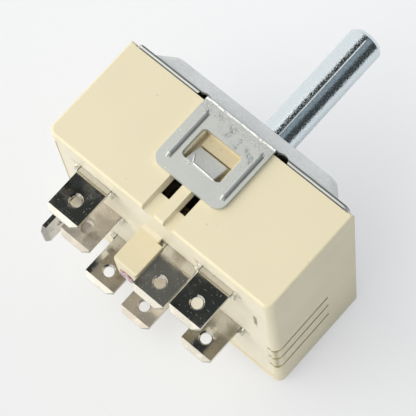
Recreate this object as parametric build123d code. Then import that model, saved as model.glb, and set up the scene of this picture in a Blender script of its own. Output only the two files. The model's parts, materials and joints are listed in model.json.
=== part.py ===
from build123d import *
import os
from math import atan2, cos, degrees, hypot, radians, sin, sqrt

# Cooktop element switch, in millimetres.
# The origin is on the shaft axis, in the plateau's outer face that the hob panel meets.
# The shaft points to -Y, the blade terminals to +Y, and +Z is the broad face with the visible clip.

# Housing
HOUSING_W = 45.45
HOUSING_TOP = 19.53
HOUSING_HEIGHT = 42.0
HOUSING_BACK = 22.95
END_WALL = 1.1
BROAD_WALL = 1.15
END_WALL_LIP = 0.4
BACK_CORNER_R = 1.5
EDGE_R = 0.5
CAVITY_R = 2.6

# Front plate, drawn from one sheet
SHEET = 0.8
PLATEAU_RISE = 2.8
PLATE_SIDE_GAP = 0.12
PLATE_CORNER_R = 1.0
PLATEAU_BASE_X = 19.3
PLATEAU_TOP_X = 16.5
PLATEAU_BASE_INSET = 0.3
PLATEAU_TOP_INSET = 2.3
PLATEAU_CORNER_R = 2.5
PLATEAU_BEND_R = 0.8
SCREW_SPACING = 28.0
SCREW_HOLE_R = 1.65
SCREW_COLLAR_R = 2.6
SCREW_COLLAR_END = 2.6

# Clip tab on each broad face
CLIP_HALF = 6.97
CLIP_END = 16.25
CLIP_CORNER_R = 1.8
CLIP_BEND_R = 0.35
BEADS_X = (5.3, -5.75)
BEAD_R = 0.46
BEAD_SINK = 0.1
BEAD_START = 5.3
BEAD_END = 13.8
BEAD_TAPER = 0.8
WINDOW_HALF = 3.95
WINDOW_START = 7.15
WINDOW_END = 12.8
WINDOW_R = 0.8
TONGUE_RIGHT = 2.8
TONGUE_LEFT = -2.75
TONGUE_LENGTH = 3.5
TONGUE_ANGLE = 26.0
RELIEFS_X = (7.5, -8.2)
RELIEF_R = 1.3
RELIEF_DEPTH = 2.0

# Catch pocket and slots in each broad face
POCKET_HALF = 3.6
POCKET_START = 7.05
POCKET_STEP = 9.3
POCKET_END = 13.05
POCKET_SHALLOW = 0.9
POCKET_DEEP = 1.9
POCKET_FLOOR = 0.9
CHANNEL_X = 2.9
# upright side X, slanting side's inner X and outer X, slot's end Y
SLOTS = [(0.48, 2.45, 3.0, 19.1), (-3.2, -1.7, -1.3, 19.6)]
SLOT_START = 14.2
GROOVE_DEEP = 1.0
GROOVE_SHALLOW = 0.7

# Vent grooves in the end face
VENT_START = 10.15
VENT_REACH = 1.875
VENT_HALF = 0.5
VENT_Z = [-4.7, -8.8, -13.5]

# Terminal base that closes the back
BASE_T = 2.9
BASE_INSET = 0.15
SLIT_FROM_END = 3.725
SLIT_HALF = 0.35
SLIT_LOW = 3.5
SLIT_HIGH = 8.5
SLIT_DEPTH = 1.4
BLOCK_GAP = 0.05
BLOCK_RIGHT = 3.8
BLOCK_TOP = 10.0
BLOCK_DROP = 7.5
BLOCK_END = 30.15
BLOCK_EDGE = 0.3
SOCKET_R = 3.4
SOCKET_START = 17.3
SOCKET_DEPTH = 1.7

# Blade terminals
BLADE_W = 6.3
BLADE_T = 0.8
BLADE_CORNER_X = 1.0
BLADE_CORNER_Y = 0.8
BLADE_BEVEL_Y = 0.9
BLADE_BEVEL_Z = 0.24
BLADE_HOLE_R = 0.95
BLADE_SINK_R = 1.2
EAR_W = 1.1
EAR_OUT = 1.0
EAR_ROOT = 0.2
EAR_TWIST = 32.0
BLIND_FLOOR = 0.25
TAIL_HALF = 1.6
STANDING_FROM_END = 2.325
PAIR_FROM_END = 10.675
# name: centre X, centre Z, hole Y, tip Y
BLADES = {
    "terminal_1": (13.4, 13.2, 27.55, 31.4),
    "terminal_2": (13.1, 1.6, 27.65, 31.25),
    "terminal_3": (HOUSING_W / 2 - STANDING_FROM_END, -6.9, 28.0, 31.95),
    "terminal_4": (9.8, -12.9, 28.45, 31.65),
    "terminal_5": (-4.25, 8.8, 28.21, 31.85),
    "terminal_6": (2.2, -16.4, 28.55, 31.75),
    "terminal_7": (PAIR_FROM_END - HOUSING_W / 2, 13.2, 27.75, 31.45),
    "terminal_8": (PAIR_FROM_END - HOUSING_W / 2, -5.7, 27.85, 31.15),
}
STANDING_BLADE = "terminal_3"
BLADE_AT_BLOCK = "terminal_5"
BLIND_BLADE = "terminal_2"

# Shaft
SHAFT_R = 3.175
JOURNAL_R = 2.9
JOURNAL_START = -0.4
SHAFT_TIP = -27.1
SHAFT_END = 15.6
TIP_CHAMFER = 0.8
FLAT_LENGTH = 10.0
FLAT_DEPTH = 1.6
PIVOT_R = 1.6
PIVOT_END = 18.6
RUNNING_GAP = 0.06
BUSH_R = 4.2
BUSH_END = 4.2
BUSH_FLANGE_R = 6.0
BUSH_FLANGE_T = 1.0
CLIP_RING_R = 5.2
CLIP_GROOVE_R = 2.6
CLIP_RING_T = 0.7
CLIP_RING_MOUTH = 1.7
AXIAL_GAP = 0.15

# Control cam
HUB_R = 5.5
HUB_START = 5.4
SPIRAL_START = 6.8
SPIRAL_T = 2.6
POLE_DISC_START = 11.2
POLE_DISC_T = 2.4
POLE_DISC_R = 8.0
POLE_NOTCH_R = 2.0
POLE_NOTCH_DEPTH = 0.7

# Follower lever, in a frame with u from its pin to its nose and w away from the shaft
PIN_FROM_WALL = 5.625
PIN_Z = 10.0
PIN_R = 1.0
PIN_SHOULDER_R = 1.9
NOSE_R = 1.0
NOSE_MIDDLE_RADIUS = 9.5
CAM_GAP = 0.3
CAM_RISE = 2.5
CAM_TURN = 300
CAM_DWELL = 6
SPIRAL_ARCS = 6
LEVER_LOW = 0.5
LEVER_HIGH = 2.7
LEVER_HUB_R = 2.6
LEVER_TAIL = 1.2
BIMETAL_LOW = 4.2
BIMETAL_T = 0.8
BIMETAL_START = 0.6
BIMETAL_END = 19.5
BIMETAL_PAD = 3.4
HEATER_START = 5.0
HEATER_END = 15.5
HEATER_WIRE_R = 0.22
HEATER_CARD_T = 0.3
HEATER_TURNS = 9
BEAD_PIN_R = 0.8
BEAD_PIN_END = 22.6
LAYER_START = 6.9
LAYER_END = 9.3

# Snap spring below the lever
SNAP_FROM_BOTTOM = 6.32
SNAP_FROM_WALL = 2.225
SNAP_RIGHT = -5.0
SPRING_T = 0.25
SPRING_W = 3.0
SNAP_START = 7.0
CONTACT_R = 1.4
CONTACT_T = 0.8
CONTACT_GAP = 0.6
BRACKET_T = 0.8

# Pole springs beside and above the cam
POLE_START = 10.9
BUMP_R = 1.0
POLE_1_TOP = 15.2
POLE_1_LOW = -5.6
POLE_1_CONTACT_Z = -4.0
POLE_2_RIGHT = 5.8
POLE_2_CONTACT_X = 4.2

# Calibration screw and its seal
CAL_Z = 5.6
CAL_R = 1.5
CAL_START = 15.8
CAL_HEAD_INSET = 1.0
SEAL_T = 0.25

HALF_W = HOUSING_W / 2
HOUSING_BOTTOM = HOUSING_TOP - HOUSING_HEIGHT
MID_Z = HOUSING_TOP - HOUSING_HEIGHT / 2
VENT_INNER_X = VENT_REACH - HALF_W
SLIT_X = SLIT_FROM_END - HALF_W
FLANGE_BACK = PLATEAU_RISE + SHEET
END_WALL_FRONT = FLANGE_BACK - END_WALL_LIP
CAVITY_HALF = HALF_W - END_WALL
CAVITY_TOP = HOUSING_TOP - BROAD_WALL
CAVITY_BOTTOM = HOUSING_BOTTOM + BROAD_WALL
BASE_BACK = HOUSING_BACK - BASE_INSET
BASE_FRONT = BASE_BACK - BASE_T
TAIL_END = BASE_FRONT - BRACKET_T
BLOCK_LEFT = BLADES[BLADE_AT_BLOCK][0] + BLADE_W / 2 + BLOCK_GAP
CAL_X = (BLOCK_LEFT + BLOCK_RIGHT) / 2
POLE_2_LEFT = BLADES["terminal_7"][0] - TAIL_HALF
PIN_X = PIN_FROM_WALL - CAVITY_HALF
SNAP_LEFT = SNAP_FROM_WALL - CAVITY_HALF
SNAP_Z = CAVITY_BOTTOM + SNAP_FROM_BOTTOM
CLIP_OUTER = HOUSING_TOP + SHEET
BUMP_GAP = POLE_DISC_R + CAM_GAP
POLE_PLANE = BUMP_GAP + BUMP_R
MIRROR_PLANE = Plane.XY.offset(MID_Z)


def box(x0, x1, y0, y1, z0, z1):
    """Box between two corners."""
    middle = Pos((x0 + x1) / 2, (y0 + y1) / 2, (z0 + z1) / 2)
    return middle * Box(x1 - x0, y1 - y0, z1 - z0)


def rod_y(x, z, radius, y0, y1):
    """Cylinder along Y."""
    return Pos(x, (y0 + y1) / 2, z) * Rot(90, 0, 0) * Cylinder(radius, y1 - y0)


def rod_x(y, z, radius, x0, x1):
    """Cylinder along X."""
    return Pos((x0 + x1) / 2, y, z) * Rot(0, 90, 0) * Cylinder(radius, x1 - x0)


def rod_z(x, y, radius, z0, z1):
    """Cylinder along Z."""
    return Pos(x, y, (z0 + z1) / 2) * Cylinder(radius, z1 - z0)


def prism_x(points, x0, x1):
    """Polygon given in Y and Z, drawn out along X."""
    outline = make_face(Polyline(*points, close=True))
    return extrude(Plane.YZ.offset(x0) * outline, amount=x1 - x0)


def prism_y(points, y0, y1):
    """Polygon given in X and Z, drawn out along Y."""
    outline = make_face(Polyline(*points, close=True))
    return extrude(Plane.XZ.offset(-y1) * outline, amount=y1 - y0)


def prism_z(points, z0, z1):
    """Polygon given in X and Y, drawn out along Z."""
    outline = make_face(Polyline(*points, close=True))
    return extrude(Plane.XY.offset(z0) * outline, amount=z1 - z0)


def rounded_slab(half_x, z0, z1, radius, y0, y1):
    """Slab with rounded corners, drawn out along Y."""
    outline = Pos(0, (z0 + z1) / 2) * RectangleRounded(2 * half_x, z1 - z0, radius)
    return extrude(Plane.XZ.offset(-y1) * outline, amount=y1 - y0)


def both_faces(shape):
    """The shape and its mirror image on the opposite broad face."""
    return shape + mirror(shape, about=MIRROR_PLANE)


def catch_pocket():
    """Stepped pocket that the clip's tongue drops into, with a deeper channel at one side."""
    step_floor = HOUSING_TOP - POCKET_SHALLOW
    deep_floor = HOUSING_TOP - POCKET_DEEP
    above = HOUSING_TOP + SHEET
    shallow = box(-POCKET_HALF, POCKET_HALF, POCKET_START, POCKET_END, step_floor, above)
    deep = box(-POCKET_HALF, POCKET_HALF, POCKET_STEP, POCKET_END, deep_floor, above)
    channel = box(CHANNEL_X, POCKET_HALF, POCKET_START, POCKET_END, deep_floor, above)
    return shallow + deep + channel


def catch_boss():
    """Thicker wall under the catch pocket."""
    side = POCKET_HALF + POCKET_FLOOR
    low = HOUSING_TOP - POCKET_DEEP - POCKET_FLOOR
    return box(-side, side, POCKET_START - POCKET_FLOOR, POCKET_END + POCKET_FLOOR, low, CAVITY_TOP)


def slot_cut(upright, slant_inner, slant_outer, slot_end):
    """Slot through the broad wall with one slanting side, running out as a groove to the back."""
    above = HOUSING_TOP + SHEET
    below = CAVITY_TOP - SHEET
    back = HOUSING_BACK + SHEET
    section = [
        (upright, below),
        (slant_inner, below),
        (slant_inner, CAVITY_TOP),
        (slant_outer, HOUSING_TOP),
        (slant_outer, above),
        (upright, above),
    ]
    depth = [
        (SLOT_START, below),
        (slot_end, below),
        (slot_end, HOUSING_TOP - GROOVE_DEEP),
        (back, HOUSING_TOP - GROOVE_SHALLOW),
        (back, above),
        (SLOT_START, above),
    ]
    return prism_y(section, SLOT_START, back) & prism_x(depth, upright, slant_outer)


def vent_cuts():
    """Three vent grooves in the end face that wrap on to the back."""
    cuts = Part()
    for z in VENT_Z:
        low, high = z - VENT_HALF, z + VENT_HALF
        cuts += box(-HALF_W - SHEET, VENT_INNER_X, VENT_START, HOUSING_BACK + SHEET, low, high)
    return cuts


def make_housing():
    """Moulded housing: four walls, open at the front and back."""
    outer = box(-HALF_W, HALF_W, END_WALL_FRONT, HOUSING_BACK, HOUSING_BOTTOM, HOUSING_TOP)
    upright = outer.edges().filter_by(Axis.Z).group_by(Axis.Y)[-1]
    outer = fillet(upright, BACK_CORNER_R)
    outer = fillet(outer.faces().sort_by(Axis.Z)[-1].edges(), EDGE_R)
    outer = fillet(outer.faces().sort_by(Axis.Z)[0].edges(), EDGE_R)
    low, high = CAVITY_BOTTOM, CAVITY_TOP
    front, back = END_WALL_FRONT - SHEET, HOUSING_BACK + SHEET
    walls = outer - rounded_slab(CAVITY_HALF, low, high, CAVITY_R, front, back)
    walls -= box(-CAVITY_HALF, CAVITY_HALF, front, FLANGE_BACK,
                 HOUSING_BOTTOM - SHEET, HOUSING_TOP + SHEET)
    walls += both_faces(catch_boss())
    cuts = catch_pocket()
    for slot in SLOTS:
        cuts += slot_cut(*slot)
    return walls - both_faces(cuts) - vent_cuts()


def calibration_block():
    """Block that stands out of the back, flat on top and round below."""
    middle = CAL_X
    radius = (BLOCK_RIGHT - BLOCK_LEFT) / 2
    round_z = BLOCK_TOP - BLOCK_DROP + radius
    flat = box(BLOCK_LEFT, BLOCK_RIGHT, BASE_BACK, BLOCK_END, round_z, BLOCK_TOP)
    block = flat + rod_y(middle, round_z, radius, BASE_BACK, BLOCK_END)
    return chamfer(block.faces().sort_by(Axis.Y)[-1].edges(), BLOCK_EDGE)


def pass_through(name):
    """Space that one terminal takes in the terminal base."""
    x, z, _, _ = BLADES[name]
    wide, thick = BLADE_W / 2, BLADE_T / 2
    if name == STANDING_BLADE:
        wide, thick = thick, wide
    return box(x - wide, x + wide, BASE_FRONT, BASE_BACK, z - thick, z + thick)


def ear_notch():
    """Notch in the block for the lock ear of the blade beside it."""
    x, z, _, _ = BLADES[BLADE_AT_BLOCK]
    ear_end = x + BLADE_W / 2 + EAR_W
    low = z - BLADE_T
    return box(BLOCK_LEFT, ear_end, BASE_BACK, BASE_BACK + EAR_OUT, low, BLOCK_TOP)


def make_terminal_base():
    """Moulded back that holds the terminals, the shaft's inner end and the calibration screw."""
    base = rounded_slab(CAVITY_HALF, CAVITY_BOTTOM, CAVITY_TOP, CAVITY_R, BASE_FRONT, BASE_BACK)
    base += calibration_block()
    base += rod_y(0, 0, SOCKET_R, SOCKET_START, BASE_FRONT)
    base -= rod_y(0, 0, PIVOT_R + RUNNING_GAP, SOCKET_START, SOCKET_START + SOCKET_DEPTH)
    base -= rod_y(CAL_X, CAL_Z, CAL_R, BASE_FRONT, BLOCK_END)
    base -= rod_y(PIN_X, PIN_Z, PIN_R, BASE_FRONT, BASE_FRONT + BASE_T / 2)
    base -= box(SLIT_X - SLIT_HALF, SLIT_X + SLIT_HALF, BASE_BACK - SLIT_DEPTH, BASE_BACK,
                SLIT_LOW, SLIT_HIGH)
    for name in BLADES:
        base -= pass_through(name)
    return base - ear_notch() - vent_cuts()


def wall_offset(run):
    """How far inside the outer outline the inner one lies, for a wall one sheet thick."""
    slope = run / PLATEAU_RISE
    return SHEET * (hypot(1, slope) - slope)


def plateau(thin_x, thin_z, base_y, top_y, corner_r):
    """Raised block with sloping sides and rounded corners, made thinner along X and Z."""
    base_x, top_x = PLATEAU_BASE_X - thin_x, PLATEAU_TOP_X - thin_x
    base_inset, top_inset = PLATEAU_BASE_INSET + thin_z, PLATEAU_TOP_INSET + thin_z
    across = [(-base_x, base_y), (base_x, base_y), (top_x, top_y), (-top_x, top_y)]
    upward = [
        (base_y, HOUSING_BOTTOM + base_inset),
        (base_y, HOUSING_TOP - base_inset),
        (top_y, HOUSING_TOP - top_inset),
        (top_y, HOUSING_BOTTOM + top_inset),
    ]
    block = prism_z(across, HOUSING_BOTTOM, HOUSING_TOP) & prism_x(upward, -base_x, base_x)
    slanting = block.edges().filter_by(lambda edge: abs((edge @ 0).Y - (edge @ 1).Y) > SHEET)
    return fillet(slanting, corner_r)


def drawn_plate():
    """Flange with the raised plateau, one sheet thick all over."""
    flange_half = CAVITY_HALF - PLATE_SIDE_GAP
    flange = rounded_slab(flange_half, HOUSING_BOTTOM, HOUSING_TOP, PLATE_CORNER_R,
                          PLATEAU_RISE, FLANGE_BACK)
    raised = flange + plateau(0, 0, PLATEAU_RISE, 0, PLATEAU_CORNER_R)
    raised = fillet(raised.faces().sort_by(Axis.Y)[0].edges(), PLATEAU_BEND_R)
    thin_x = wall_offset(PLATEAU_BASE_X - PLATEAU_TOP_X)
    thin_z = wall_offset(PLATEAU_TOP_INSET - PLATEAU_BASE_INSET)
    return raised - plateau(thin_x, thin_z, FLANGE_BACK, SHEET, PLATEAU_CORNER_R - thin_z)


def clip_tongue():
    """Tongue bent inwards from the window's far edge to catch in the pocket."""
    lean = radians(TONGUE_ANGLE)
    reach_y, reach_z = TONGUE_LENGTH * cos(lean), TONGUE_LENGTH * sin(lean)
    off_y, off_z = SHEET * sin(lean), SHEET * cos(lean)
    profile = [
        (WINDOW_END, CLIP_OUTER),
        (WINDOW_END - reach_y, CLIP_OUTER - reach_z),
        (WINDOW_END - reach_y + off_y, CLIP_OUTER - reach_z - off_z),
        (WINDOW_END, CLIP_OUTER - SHEET - off_y / 2),
        (WINDOW_END + off_y, CLIP_OUTER - SHEET),
        (WINDOW_END + off_y, CLIP_OUTER),
    ]
    return prism_x(profile, TONGUE_LEFT, TONGUE_RIGHT)


def clip_window():
    """Window in the clip, with rounded corners."""
    middle = Pos(0, (WINDOW_START + WINDOW_END) / 2)
    outline = middle * RectangleRounded(2 * WINDOW_HALF, WINDOW_END - WINDOW_START, WINDOW_R)
    return extrude(Plane.XY.offset(HOUSING_TOP) * outline, amount=SHEET)


def clip_bead(x):
    """Stiffening bead pressed outwards along the clip."""
    z = CLIP_OUTER - BEAD_SINK
    taper = Cone(BEAD_R, BEAD_SINK, BEAD_TAPER)
    bead = rod_y(x, z, BEAD_R, BEAD_START, BEAD_END)
    bead += Pos(x, BEAD_START - BEAD_TAPER / 2, z) * Rot(90, 0, 0) * taper
    return bead + Pos(x, BEAD_END + BEAD_TAPER / 2, z) * Rot(-90, 0, 0) * taper


def clip():
    """Clip tab, bent from the plate over the housing's broad face."""
    profile = [
        (PLATEAU_RISE, HOUSING_TOP - PLATEAU_BASE_INSET),
        (PLATEAU_RISE, CLIP_OUTER),
        (CLIP_END, CLIP_OUTER),
        (CLIP_END, HOUSING_TOP),
        (FLANGE_BACK, HOUSING_TOP),
        (FLANGE_BACK, HOUSING_TOP - PLATEAU_BASE_INSET),
    ]
    tab = prism_x(profile, -CLIP_HALF, CLIP_HALF)
    tab = fillet(tab.edges().filter_by(Axis.X).sort_by(Axis.Z)[-2:].sort_by(Axis.Y)[:1], CLIP_BEND_R)
    tab = fillet(tab.edges().filter_by(Axis.Z).group_by(Axis.Y)[-1], CLIP_CORNER_R)
    tab -= clip_window()
    for x in BEADS_X:
        tab += clip_bead(x)
    return tab + clip_tongue()


def make_front_plate():
    """Front plate with both clips, relief notches, screw collars and the bush hole."""
    plate = drawn_plate() + both_faces(clip())
    for x in RELIEFS_X:
        notch = rod_z(x, FLANGE_BACK, RELIEF_R, HOUSING_TOP - RELIEF_DEPTH, HOUSING_TOP)
        plate -= both_faces(notch)
    for x in (-SCREW_SPACING / 2, SCREW_SPACING / 2):
        plate += rod_y(x, 0, SCREW_COLLAR_R, SHEET / 2, SCREW_COLLAR_END)
        plate -= rod_y(x, 0, SCREW_HOLE_R, 0, SCREW_COLLAR_END)
    return plate - rod_y(0, 0, BUSH_R, 0, FLANGE_BACK)


def make_bearing_bush():
    """Flanged bush, staked in the plate, that the shaft turns in."""
    bush = rod_y(0, 0, BUSH_R, 0, BUSH_END)
    bush += rod_y(0, 0, BUSH_FLANGE_R, SHEET, SHEET + BUSH_FLANGE_T)
    return bush - rod_y(0, 0, JOURNAL_R + RUNNING_GAP, 0, BUSH_END)


def make_shaft():
    """Steel control shaft with a flat for the knob, a ground journal, a ring groove and a pivot."""
    shaft = rod_y(0, 0, SHAFT_R, SHAFT_TIP, JOURNAL_START)
    shaft += rod_y(0, 0, JOURNAL_R, JOURNAL_START, SHAFT_END)
    shaft = chamfer(shaft.faces().sort_by(Axis.Y)[0].edges(), TIP_CHAMFER)
    shaft += rod_y(0, 0, PIVOT_R, SHAFT_END, PIVOT_END)
    flat_z = -SHAFT_R + FLAT_DEPTH
    shaft -= box(-SHAFT_R, SHAFT_R, SHAFT_TIP, SHAFT_TIP + FLAT_LENGTH, -SHAFT_R, flat_z)
    ring_y = BUSH_END + AXIAL_GAP
    groove = rod_y(0, 0, SHAFT_R, ring_y, ring_y + CLIP_RING_T)
    return shaft - (groove - rod_y(0, 0, CLIP_GROOVE_R, ring_y, ring_y + CLIP_RING_T))


def make_shaft_ring():
    """Open retaining ring in the shaft's groove, behind the bush."""
    start = BUSH_END + AXIAL_GAP
    end = start + CLIP_RING_T
    ring = rod_y(0, 0, CLIP_RING_R, start, end) - rod_y(0, 0, CLIP_GROOVE_R, start, end)
    return ring - box(-CLIP_RING_MOUTH, CLIP_RING_MOUTH, start, end, -CLIP_RING_R, 0)


def nose_polar(lift):
    """Distance and polar angle of the nose's centre once the cam has lifted it."""
    reach = hypot(PIN_X, PIN_Z)
    arm = sqrt(reach**2 - NOSE_MIDDLE_RADIUS**2)
    bend = atan2(NOSE_MIDDLE_RADIUS, arm)
    toward_shaft = atan2(-PIN_Z, -PIN_X)
    middle_lift = CAM_RISE / 2
    angle = toward_shaft - bend - (lift - middle_lift) / arm
    x = PIN_X + arm * cos(angle)
    z = PIN_Z + arm * sin(angle)
    return hypot(x, z), atan2(z, x), angle


def cam_radius(turn):
    """Spiral radius met by the nose after the shaft has turned this many degrees."""
    lift = CAM_RISE * min(max(turn, 0), CAM_TURN) / CAM_TURN
    return nose_polar(lift)[0] - NOSE_R - CAM_GAP


def spiral_points():
    """Points round the spiral, counted in the direction that the nose meets them."""
    points = []
    start = degrees(nose_polar(0)[1])
    step = (CAM_TURN + 2 * CAM_DWELL) / (2 * SPIRAL_ARCS)
    for number in range(2 * SPIRAL_ARCS + 1):
        turn = number * step - CAM_DWELL
        drift = degrees(nose_polar(CAM_RISE * min(max(turn, 0), CAM_TURN) / CAM_TURN)[1]) - start
        polar = radians(start + drift + turn)
        radius = cam_radius(turn)
        points.append((radius * cos(polar), radius * sin(polar)))
    return points


def make_control_cam():
    """Moulded cam: a hub with the power spiral and the pole disc."""
    points = spiral_points()
    outline = Line(points[-1], points[0])
    for first in range(0, len(points) - 2, 2):
        outline += ThreePointArc(*points[first:first + 3])
    spiral = make_face(outline)
    cam = extrude(Plane.XZ.offset(-SPIRAL_START - SPIRAL_T) * spiral, amount=SPIRAL_T)
    cam += rod_y(0, 0, HUB_R, HUB_START, SHAFT_END)
    disc_end = POLE_DISC_START + POLE_DISC_T
    cam += rod_y(0, 0, POLE_DISC_R, POLE_DISC_START, disc_end)
    centre = POLE_DISC_R + POLE_NOTCH_R - POLE_NOTCH_DEPTH
    cam -= rod_y(centre, 0, POLE_NOTCH_R, POLE_DISC_START, disc_end)
    cam -= rod_y(0, centre, POLE_NOTCH_R, POLE_DISC_START, disc_end)
    return cam - rod_y(0, 0, JOURNAL_R, HUB_START, SHAFT_END)


def lever_frame():
    """Place for lever shapes drawn with u along X and w along Z."""
    angle = degrees(nose_polar(0)[2])
    return Pos(PIN_X, 0, PIN_Z) * Rot(0, -angle, 0)


def lever_box(u0, u1, y0, y1, w0, w1):
    """Box in the lever's own frame, where w away from the shaft is -Z before turning."""
    return lever_frame() * box(u0, u1, y0, y1, -w1, -w0)


def nose_reach():
    """Distance from the pin to the nose's centre."""
    return sqrt(hypot(PIN_X, PIN_Z) ** 2 - NOSE_MIDDLE_RADIUS**2)


def make_follower_lever():
    """Pressed lever with a nose that follows the spiral."""
    arm = nose_reach()
    lever = rod_y(PIN_X, PIN_Z, LEVER_HUB_R, LAYER_START, LAYER_END)
    lever += lever_box(0, arm + LEVER_TAIL, LAYER_START, LAYER_END, LEVER_LOW, LEVER_HIGH)
    lever += lever_box(arm - NOSE_R, arm + NOSE_R, LAYER_START, LAYER_END, 0, LEVER_LOW)
    lever += lever_frame() * rod_y(arm, 0, NOSE_R, LAYER_START, LAYER_END)
    lever += lever_box(BIMETAL_START, BIMETAL_PAD, LAYER_START, LAYER_END, LEVER_HIGH, BIMETAL_LOW)
    return lever - rod_y(PIN_X, PIN_Z, PIN_R + RUNNING_GAP, LAYER_START, LAYER_END)


def make_lever_pin():
    """Shouldered pin in the terminal base that the lever swings on."""
    pin = rod_y(PIN_X, PIN_Z, PIN_R, FLANGE_BACK + SHEET, BASE_FRONT + BASE_T / 2)
    return pin + rod_y(PIN_X, PIN_Z, PIN_SHOULDER_R, LAYER_END + AXIAL_GAP, BASE_FRONT)


def make_bimetal():
    """Bimetal strip on the lever."""
    high = BIMETAL_LOW + BIMETAL_T
    return lever_box(BIMETAL_START, BIMETAL_END, LAYER_START, LAYER_END, BIMETAL_LOW, high)


def make_heater():
    """Insulating card on the bimetal with resistance wire wound on its face."""
    low = BIMETAL_LOW + BIMETAL_T
    high = low + HEATER_CARD_T
    heater = lever_box(HEATER_START, HEATER_END, LAYER_START, LAYER_END, low, high)
    step = (HEATER_END - HEATER_START) / HEATER_TURNS
    for turn in range(HEATER_TURNS):
        u = HEATER_START + (turn + 0.5) * step
        heater += lever_frame() * rod_y(u, -high, HEATER_WIRE_R, LAYER_START, LAYER_END)
    return heater


def make_push_bead():
    """Ceramic bead at the bimetal's free end, that pushes on the snap spring."""
    w = BIMETAL_LOW + BIMETAL_T / 2
    middle = (LAYER_START + LAYER_END) / 2
    return lever_frame() * rod_x(middle, -w, BEAD_PIN_R, BIMETAL_END, BEAD_PIN_END)


def make_snap_spring():
    """Leaf spring with the regulating contact."""
    end = SNAP_START + SPRING_W
    return box(SNAP_LEFT, SNAP_RIGHT, SNAP_START, end, SNAP_Z - SPRING_T, SNAP_Z)


def make_snap_contact():
    """Contact rivet under the snap spring's free end."""
    middle = SNAP_START + SPRING_W / 2
    top = SNAP_Z - SPRING_T
    return rod_z(SNAP_RIGHT - CONTACT_R, middle, CONTACT_R, top - CONTACT_T, top)


def pole_face():
    """X or Z of the moving pole rivets' faces."""
    return POLE_PLANE + SPRING_T + CONTACT_T


def make_pole_spring_1():
    """Leaf spring beside the cam, with a bump for the cam and an end on terminal 1."""
    end = POLE_START + SPRING_W
    spring = box(POLE_PLANE, POLE_PLANE + SPRING_T, POLE_START, end, POLE_1_LOW, POLE_1_TOP)
    bump = rod_y(POLE_PLANE, 0, BUMP_R, POLE_START, end)
    return spring + (bump - box(POLE_PLANE, POLE_PLANE + BUMP_R, POLE_START, end, -BUMP_R, BUMP_R))


def make_pole_contact_1():
    """Moving contact rivet of the first pole."""
    middle = POLE_START + SPRING_W / 2
    return rod_x(middle, POLE_1_CONTACT_Z, CONTACT_R, POLE_PLANE + SPRING_T, pole_face())


def make_pole_spring_2():
    """Leaf spring above the cam, with a bump for the cam and an end on terminal 7."""
    end = POLE_START + SPRING_W
    spring = box(POLE_2_LEFT, POLE_2_RIGHT, POLE_START, end, POLE_PLANE, POLE_PLANE + SPRING_T)
    bump = rod_y(0, POLE_PLANE, BUMP_R, POLE_START, end)
    return spring + (bump - box(-BUMP_R, BUMP_R, POLE_START, end, POLE_PLANE, POLE_PLANE + BUMP_R))


def make_pole_contact_2():
    """Moving contact rivet of the second pole."""
    middle = POLE_START + SPRING_W / 2
    return rod_z(POLE_2_CONTACT_X, middle, CONTACT_R, POLE_PLANE + SPRING_T, pole_face())


def make_fixed_contacts():
    """Three fixed contact rivets on terminals 2, 5 and 6."""
    face = pole_face() + CONTACT_GAP
    middle = POLE_START + SPRING_W / 2
    rivets = rod_x(middle, POLE_1_CONTACT_Z, CONTACT_R, face, face + CONTACT_T)
    rivets += rod_z(POLE_2_CONTACT_X, middle, CONTACT_R, face, face + CONTACT_T)
    top = SNAP_Z - SPRING_T - CONTACT_T - CONTACT_GAP
    x = SNAP_RIGHT - CONTACT_R
    return rivets + rod_z(x, SNAP_START + SPRING_W / 2, CONTACT_R, top - CONTACT_T, top)


def blade_outline(tip):
    """Flat outline of a blade from the base's inner face to its chamfered tip."""
    half = BLADE_W / 2
    return [
        (-half, BASE_FRONT), (half, BASE_FRONT), (half, tip - BLADE_CORNER_Y),
        (half - BLADE_CORNER_X, tip), (BLADE_CORNER_X - half, tip), (-half, tip - BLADE_CORNER_Y),
    ]


def blade_bevel(tip, side):
    """Wedge taken off one face at the blade's tip."""
    face = side * BLADE_T / 2
    profile = [
        (tip - BLADE_BEVEL_Y, face),
        (tip + SHEET, face - side * BLADE_BEVEL_Z * (1 + SHEET / BLADE_BEVEL_Y)),
        (tip + SHEET, face + side * SHEET),
        (tip - BLADE_BEVEL_Y, face + side * SHEET),
    ]
    return prism_x(profile, -BLADE_W, BLADE_W)


def lock_ears():
    """Two small ears twisted out of line, that hold the blade in the base."""
    middle = BLADE_W / 2 - EAR_ROOT + EAR_W / 2
    ear = Rot(0, EAR_TWIST, 0) * Box(EAR_W, EAR_OUT, BLADE_T)
    y = BASE_BACK + EAR_OUT / 2
    return Pos(middle, y, 0) * ear + Pos(-middle, y, 0) * ear


def blade_hole(hole_y, floor):
    """Locking hole with a sunk rim, or a dimple where some metal is left as its floor."""
    half_t = BLADE_T / 2
    sink_depth = BLADE_SINK_R - BLADE_HOLE_R
    hole = rod_z(0, hole_y, BLADE_HOLE_R, floor - half_t, half_t)
    sink = Pos(0, hole_y, half_t - sink_depth / 2) * Cone(BLADE_HOLE_R, BLADE_SINK_R, sink_depth)
    return hole + sink


def blade(hole_y, tip, floor):
    """Blade centred on X = 0 and Z = 0, with lock ears at its root."""
    half_t = BLADE_T / 2
    body = prism_z(blade_outline(tip), -half_t, half_t)
    body -= blade_bevel(tip, 1) + blade_bevel(tip, -1)
    body += lock_ears()
    body += box(-TAIL_HALF, TAIL_HALF, TAIL_END, BASE_FRONT, -half_t, half_t)
    return body - blade_hole(hole_y, floor)


def placed_blade(name):
    """Blade in its place; one of them stands on edge."""
    x, z, hole_y, tip = BLADES[name]
    turn = 90 if name == STANDING_BLADE else 0
    floor = BLIND_FLOOR if name == BLIND_BLADE else 0
    return Pos(x, 0, z) * Rot(0, turn, 0) * blade(hole_y, tip, floor)


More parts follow.
